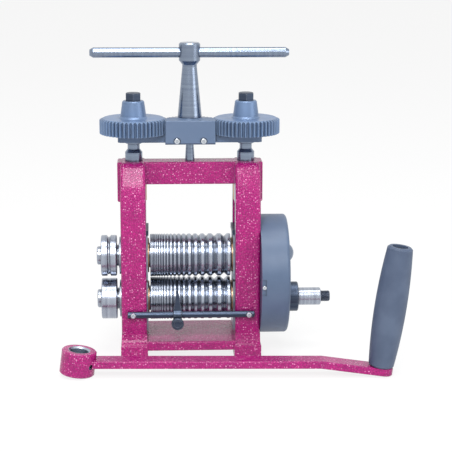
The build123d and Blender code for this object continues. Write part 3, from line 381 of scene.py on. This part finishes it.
# the rolls' grooves get strong painted shade
dress(steelMaterial("rollSteel", ground, groundDark, 0.22, 0, shadeAmount=0.75, bump=0.06), "upper_roll",
      "lower_roll", "upper_side_roller", "lower_side_roller", "upper_side_nut", "lower_side_nut",
      "input_shaft", "layshaft_stud")
dress(steelMaterial("blockSteel", ground, groundDark, 0.30, 2, pitch=0.0006), "left_lower_block",
      "right_lower_block", "left_upper_block", "right_upper_block")
dress(steelMaterial("gearSteel", cut, cutDark, 0.30, 0), "handle_pinion", "upper_roll_gear",
      "lower_roll_gear", "reduction_gear", "layshaft_gear", "layshaft_pinion", "input_pinion")
dress(steelMaterial("bushBronze", bronze, bronzeDark, 0.28, 0),
      "left_lower_bush", "right_lower_bush", "left_upper_bush", "right_upper_bush", "left_screw_nut",
      "right_screw_nut", "layshaft_bush")
dress(steelMaterial("brightZinc", zinc, zincDark, 0.20, 2), "guard_screws", "cover_screws",
      "guide_bar_screws")
dress(steelMaterial("blackOxide", oxide, oxideDark, 0.34, 2, bump=0.35, wear=0.5),
      "left_gear_bolt", "right_gear_bolt", "left_lift_keeper", "right_lift_keeper", "keeper_screws",
      "frame_bolts", "back_plate_screws", "input_bush", "guide_bar", "wire_guide", "wire_guide_knob",
      "crank_set_screw", "grip_bolt")
print("metals done")


# turned pieces with real threads or grooves, as rings of points round an axis
sharpEdge = radians(28)     # edges that bend less are shaded smooth


def turnedMesh(name, material, rings, place, segments=96):  # rings: a distance along and a radius rule
    mesh = bmesh.new()
    rows = []
    for along, radius in rings:
        row = []
        for step in range(segments):
            turn = 2 * pi * step / segments
            reach = radius(turn) if callable(radius) else radius
            row.append(mesh.verts.new(place @ Vector((cos(turn) * reach, sin(turn) * reach, along))))
        rows.append(row)
    for low, high in zip(rows, rows[1:]):
        for step in range(segments):
            after = (step + 1) % segments
            mesh.faces.new((low[step], low[after], high[after], high[step]))
    mesh.faces.new(list(reversed(rows[0])))
    mesh.faces.new(rows[-1])
    bmesh.ops.recalc_face_normals(mesh, faces=mesh.faces)
    for edge in mesh.edges:
        edge.smooth = len(edge.link_faces) == 2 and edge.calc_face_angle() < sharpEdge
    for face in mesh.faces:
        face.smooth = True
    data = bpy.data.meshes.new(name)
    mesh.to_mesh(data)
    mesh.free()
    data.materials.append(material)
    piece = bpy.data.objects.new(name, data)
    scene.collection.objects.link(piece)
    return piece


def threadRings(low, high, crest, depth, pitch, hand=1, rowsPerPitch=8):
    count = max(2, round((high - low) / pitch * rowsPerPitch))

    def rule(along):
        def radius(turn):
            phase = (along / pitch - hand * turn / (2 * pi)) % 1.0
            return crest - depth * min(1.0, max(0.0, 2.4 * abs(phase - 0.5) - 0.1))
        return radius
    return [(low + (high - low) * n / count, rule(low + (high - low) * n / count)) for n in range(count + 1)]


def alongX(z):  # own Z along world X, at this height
    return Matrix(((0, 0, 1, 0), (1, 0, 0, 0), (0, 1, 0, z), (0, 0, 0, 1)))


def upright(x):
    return Matrix.Translation((x, 0, 0))


# wire rolls: flat crests between graded V-grooves, with ground journals
wireRoll = {
    "crest": 0.0240,
    "widest": 0.0113,       # pitch at the gearbox end
    "narrowing": 0.885,
    "count": 18,
    "mouth": 0.66,          # groove's share of its pitch
    "depth": 0.43,          # of the groove's mouth
    "flat": 0.06,           # half of the groove's bottom, of half its mouth
    "barrelEnd": 0.045,
    "journal": 0.0140,
    "journalEnd": 0.0802,
    "collar": 0.0120,
    "collarEnd": 0.0825,
    "seat": 0.0106,         # under the side roller, and for the gears
    "seatEnd": 0.1,
    "stub": 0.0079,         # under the end nut
    "chamfer": 0.0006,
    "segments": 128,
}


def wireRollRings(left, right):
    total = sum(wireRoll["widest"] * wireRoll["narrowing"] ** n for n in range(wireRoll["count"]))
    edge = right - (right - left - total) / 2
    rings = []
    for n in range(wireRoll["count"]):
        pitch = wireRoll["widest"] * wireRoll["narrowing"] ** n
        middle, half = edge - pitch / 2, wireRoll["mouth"] * pitch / 2
        rings += [(middle + half, wireRoll["crest"]),
                  (middle + half * wireRoll["flat"], wireRoll["crest"] - 2 * half * wireRoll["depth"]),
                  (middle - half * wireRoll["flat"], wireRoll["crest"] - 2 * half * wireRoll["depth"]),
                  (middle - half, wireRoll["crest"])]
        edge -= pitch
    return rings[::-1]


def makeWireRoll(name, body, height, rightEnd):
    node = name.replace("WireRoll", "_roll")
    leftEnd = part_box(node)[0].x
    barrel = wireRoll["barrelEnd"]
    rough = wireRoll["chamfer"]
    rings = [(leftEnd, wireRoll["stub"] - rough), (leftEnd + rough, wireRoll["stub"]),
             (-wireRoll["seatEnd"], wireRoll["stub"]), (-wireRoll["seatEnd"], wireRoll["seat"]),
             (-wireRoll["collarEnd"], wireRoll["seat"]), (-wireRoll["collarEnd"], wireRoll["collar"]),
             (-wireRoll["journalEnd"], wireRoll["collar"]), (-wireRoll["journalEnd"], wireRoll["journal"]),
             (-barrel, wireRoll["journal"]), (-barrel, wireRoll["crest"] - rough),
             (-barrel + rough, wireRoll["crest"])]
    rings += wireRollRings(-barrel, barrel)
    rings += [(barrel - rough, wireRoll["crest"]), (barrel, wireRoll["crest"] - rough),
              (barrel, wireRoll["journal"]), (wireRoll["journalEnd"], wireRoll["journal"]),
              (wireRoll["journalEnd"], wireRoll["seat"]), (rightEnd, wireRoll["seat"])]
    piece = turnedMesh(name, metals["rollSteel"], rings, alongX(height), wireRoll["segments"])
    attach(piece, body)
    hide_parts(node)


upperAxis, lowerAxis = 0.110, 0.060
makeWireRoll("upperWireRoll", "upper_rolls", upperAxis, 0.0880)
makeWireRoll("lowerWireRoll", "lower_rolls", lowerAxis, 0.0950)

# adjusting screws, from the foot in the bearing block up to the gear's seat
adjuster = {
    "x": 0.06225,
    "foot": (0.1316, 0.1368, 0.0090),           # low end, top and radius
    "neck": (0.1428, 0.0060),                   # top and radius, as in the next ones
    "threadFoot": 0.1434,
    "threadTop": 0.2170,
    "crest": 0.0096,
    "depth": 0.0009,
    "pitch": 0.002,
    "shank": (0.2174, 0.2282),                  # plain stretch above the thread
    "taperTop": 0.2318,
    "waist": (0.2380, 0.00675),
    "flange": (0.2404, 0.0096),
    "gearSeat": (0.2838, 0.0080),
    "chamfer": 0.0006,
}
footLow, footTop, footRadius = adjuster["foot"]
neckTop, neckRadius = adjuster["neck"]
waistTop, waistRadius = adjuster["waist"]
flangeTop, flangeRadius = adjuster["flange"]
seatTop, seatRadius = adjuster["gearSeat"]
bevel = adjuster["chamfer"]
for side, sideName in ((-1, "left"), (1, "right")):
    rings = [(footLow, footRadius - bevel), (footLow + bevel, footRadius), (footTop, footRadius),
             (footTop, neckRadius), (neckTop, neckRadius), (neckTop, adjuster["crest"] - adjuster["depth"])]
    rings += threadRings(adjuster["threadFoot"], adjuster["threadTop"], adjuster["crest"], adjuster["depth"],
                         adjuster["pitch"], -1)
    rings += [(adjuster["shank"][0], adjuster["crest"]), (adjuster["shank"][1], adjuster["crest"]),
              (adjuster["taperTop"], waistRadius), (waistTop, waistRadius), (waistTop, flangeRadius - bevel),
              (waistTop + bevel, flangeRadius), (flangeTop, flangeRadius), (flangeTop, seatRadius),
              (seatTop, seatRadius)]
    piece = turnedMesh(sideName + "AdjustingScrew", metals["columnChrome"], rings,
                       upright(side * adjuster["x"]), 64)
    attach(piece, sideName + "_screw")
    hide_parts(sideName + "_adjusting_screw")

# thread on the input shaft's end
stub = {"low": 0.14855, "high": 0.1582, "end": 0.15905, "endRadius": 0.0050, "crest": 0.00622,
        "depth": 0.00042, "pitch": 0.00125}
rings = threadRings(stub["low"], stub["high"], stub["crest"], stub["depth"], stub["pitch"])
piece = turnedMesh("shaftEndThread", metals["blackOxide"], rings + [(stub["end"], stub["endRadius"])],
                   alongX(lowerAxis), 64)
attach(piece, "input")


def facingFront(x, y, z):  # own Z towards the front
    return Matrix(((1, 0, 0, x), (0, 0, -1, y), (0, 1, 0, z), (0, 0, 0, 1)))


def hexagon(flats):
    return lambda turn: flats / 2 / cos((turn % (pi / 3)) - pi / 6)


closedTip = 0.00005     # a ring small enough to read as a point


def socketScrew(name, body, place, shank, radius, headRadius, head, flats):
    edge = head * 0.3
    rings = [(-shank, radius), (0, radius), (0, headRadius), (head - edge, headRadius),
             (head - edge * 0.3, headRadius - edge * 0.3), (head, headRadius - edge), (head, hexagon(flats)),
             (head * 0.35, hexagon(flats)), (head * 0.3, closedTip)]
    piece = turnedMesh(name, metals["brightZinc"], rings, place, 48)
    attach(piece, body)
    return piece


# socket screws in view, as lists of places
smallScrews = {
    "guardScrew": {"body": "bridge", "node": "guard_screws", "shank": 0.0102, "radius": 0.0020,
                   "headRadius": 0.0031, "head": 0.0019, "flats": 0.0030,
                   "places": [facingFront(x, -0.0298, 0.2446) for x in (-0.0145, 0.0145)]},
    "guideBarScrew": {"body": "frame", "node": "guide_bar_screws", "shank": 0.0067, "radius": 0.0020,
                      "headRadius": 0.0029, "head": 0.0018, "flats": 0.0028,
                      "places": [facingFront(x, -0.0443, 0.0515) for x in (-0.0643, 0.0643)]},
    "coverScrew": {"body": "frame", "node": "cover_screws", "shank": 0.0062, "radius": 0.0015,
                   "headRadius": 0.0023, "head": 0.0016, "flats": 0.0020,
                   "places": [Matrix.Rotation(turn, 4, "Z") @ facingFront(x, -0.0652, 0.088)
                              for turn, x in ((0, 0.07975), (pi, -0.07975))]},
}
for name, kind in smallScrews.items():
    for number, place in enumerate(kind["places"], 1):
        piece = socketScrew(name + str(number), kind["body"], place, kind["shank"], kind["radius"],
                            kind["headRadius"], kind["head"], kind["flats"])
        if number == 1:
            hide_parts(kind["node"])

# thumb knob of the wire guide, knurled
knob = {
    "place": (-0.0152, -0.04785, 0.0437),
    "radius": 0.0069,
    "thick": 0.0055,
    "ridges": 32,
    "ridge": 0.00035,
    "stem": (-0.0130, 0.0019),      # its far end and its radius
    "face": 0.0058,                 # radius inside the edge's bevel
    "bevel": 0.0009,
    "dish": (0.0040, 0.0036, 0.0005),   # rim, floor and depth of the recess
    "segments": 256,
}


def knurl(turn):
    return knob["radius"] - knob["ridge"] * (0.5 + 0.5 * cos(knob["ridges"] * turn))


stemEnd, stemRadius = knob["stem"]
dishRim, dishFloor, dishDepth = knob["dish"]
rings = [(stemEnd, stemRadius), (0, stemRadius), (0, knob["face"]), (knob["bevel"], knurl),
         (knob["thick"] - knob["bevel"], knurl), (knob["thick"], knob["face"]), (knob["thick"], dishRim),
         (knob["thick"] - dishDepth, dishFloor), (knob["thick"] - dishDepth, closedTip)]
piece = turnedMesh("guideKnob", metals["blackOxide"], rings, facingFront(*knob["place"]), knob["segments"])
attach(piece, "guide_knob")
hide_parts("wire_guide_knob")
print("turned pieces done")

# moulded grip
grip = {
    "colour": (0.050, 0.074, 0.130, 1),
    "rubbed": (0.075, 0.105, 0.170, 1),
    "worn": (0.20, 0.24, 0.32, 1),
    "grain": 0.0007,
    "gloss": (0.48, 0.60),
    "relief": (0.35, 0.0002),
}
gripSkin, tree, shader = newMaterial("gripPlastic")
skin = useGroup(tree, fineGrain, Grain=grip["grain"])
worn = useGroup(tree, edgeWear, Radius=0.0012, Amount=0.5, Breakup=0.3)
marks = useGroup(tree, handling, Size=0.03)
tone = blendColour(tree, remap(tree, skin["Tone"], 0.35, 0.65), grip["colour"], grip["rubbed"])
tree.links.new(blendColour(tree, worn["Mask"], tone, grip["worn"]), shader.inputs["Base Color"])
tree.links.new(blendValue(tree, marks["Smudge"], *grip["gloss"]), shader.inputs["Roughness"])
raiseSurface(tree, shader, skin["Height"], *grip["relief"])
dress(gripSkin, "crank_grip")
print("grip done")


# floor, light and camera
studio = {
    "floorHalf": 12.0,
    "shade": 0.16,      # how much of the floor is lit rather than plain white
    "skyLight": 0.55,
    "paper": (0.90, 0.90, 0.90, 1),
}


def seenDirectly(tree):  # by the camera, in a reflection or through glass
    path = addNode(tree, "LightPath")
    mirrored = math(tree, "MAXIMUM", path.outputs["Is Camera Ray"], path.outputs["Is Glossy Ray"])
    return math(tree, "MAXIMUM", mirrored, path.outputs["Is Transmission Ray"])


floorMesh = bpy.data.meshes.new("floor")
half = studio["floorHalf"]
floorMesh.from_pydata([(-half, -half, 0), (half, -half, 0), (half, half, 0), (-half, half, 0)], [],
                      [(0, 1, 2, 3)])
floorPiece = bpy.data.objects.new("floor", floorMesh)
scene.collection.objects.link(floorPiece)
floorPaper, tree, shader = newMaterial("floorPaper")
shader.inputs["Base Color"].default_value = studio["paper"]
shader.inputs["Roughness"].default_value = 0.9
shader.inputs["Specular IOR Level"].default_value = 0.0
glow = addNode(tree, "Emission", Color=(1, 1, 1, 1), Strength=1.0)
both = addNode(tree, "MixShader")
tree.links.new(math(tree, "MULTIPLY", seenDirectly(tree), 1 - studio["shade"]), both.inputs[0])
tree.links.new(shader.outputs[0], both.inputs[1])
tree.links.new(glow.outputs[0], both.inputs[2])
tree.links.new(both.outputs[0], tree.nodes["Material Output"].inputs["Surface"])
floorMesh.materials.append(floorPaper)

world = bpy.data.worlds.new("studio")
scene.world = world
world.use_nodes = True
tree = world.node_tree
sky = tree.nodes["Background"]
sky.inputs["Color"].default_value = (1, 1, 1, 1)
tree.links.new(blendValue(tree, seenDirectly(tree), studio["skyLight"], 1.0), sky.inputs["Strength"])


def softLight(name, place, aim, size, power):
    lamp = bpy.data.lights.new(name, "AREA")
    lamp.shape = "SQUARE"
    lamp.size = size
    lamp.energy = power
    holder = bpy.data.objects.new(name, lamp)
    holder.location = place
    holder.rotation_euler = (Vector(aim) - Vector(place)).to_track_quat("-Z", "Y").to_euler()
    scene.collection.objects.link(holder)


lamps = {  # place, what it points at, size and watts
    "frontLight": ((-0.35, -2.0, 1.75), (0.02, 0, 0.17), 1.0, 42),
    "topLight": ((0.1, -0.2, 2.3), (0.02, 0, 0.15), 1.2, 26),
    "rightLight": ((2.0, -1.1, 0.8), (0.02, 0, 0.15), 1.2, 12),
}
for name, settings in lamps.items():
    softLight(name, *settings)

view = {
    "place": (-0.0398, -1.5866, 0.50138),
    "pitch": 12.72,
    "turn": -2.90,
    "lean": 0.16,
    "focal": 1445.0,    # in pixels of a 452-pixel frame
    "frame": 452,
    "sensor": 36.0,     # in millimetres
}
cameraData = bpy.data.cameras.new("photoCamera")
cameraData.sensor_width = view["sensor"]
cameraData.lens = view["focal"] / view["frame"] * view["sensor"]
camera = bpy.data.objects.new("photoCamera", cameraData)
aim = Euler((radians(90 - view["pitch"]), 0, radians(view["turn"]))).to_matrix().to_4x4()
camera.matrix_world = (Matrix.Translation(view["place"]) @ aim
                       @ Matrix.Rotation(radians(view["lean"]), 4, "Z"))
scene.collection.objects.link(camera)
scene.camera = camera
scene.view_settings.view_transform = "Standard"
print("studio ready")
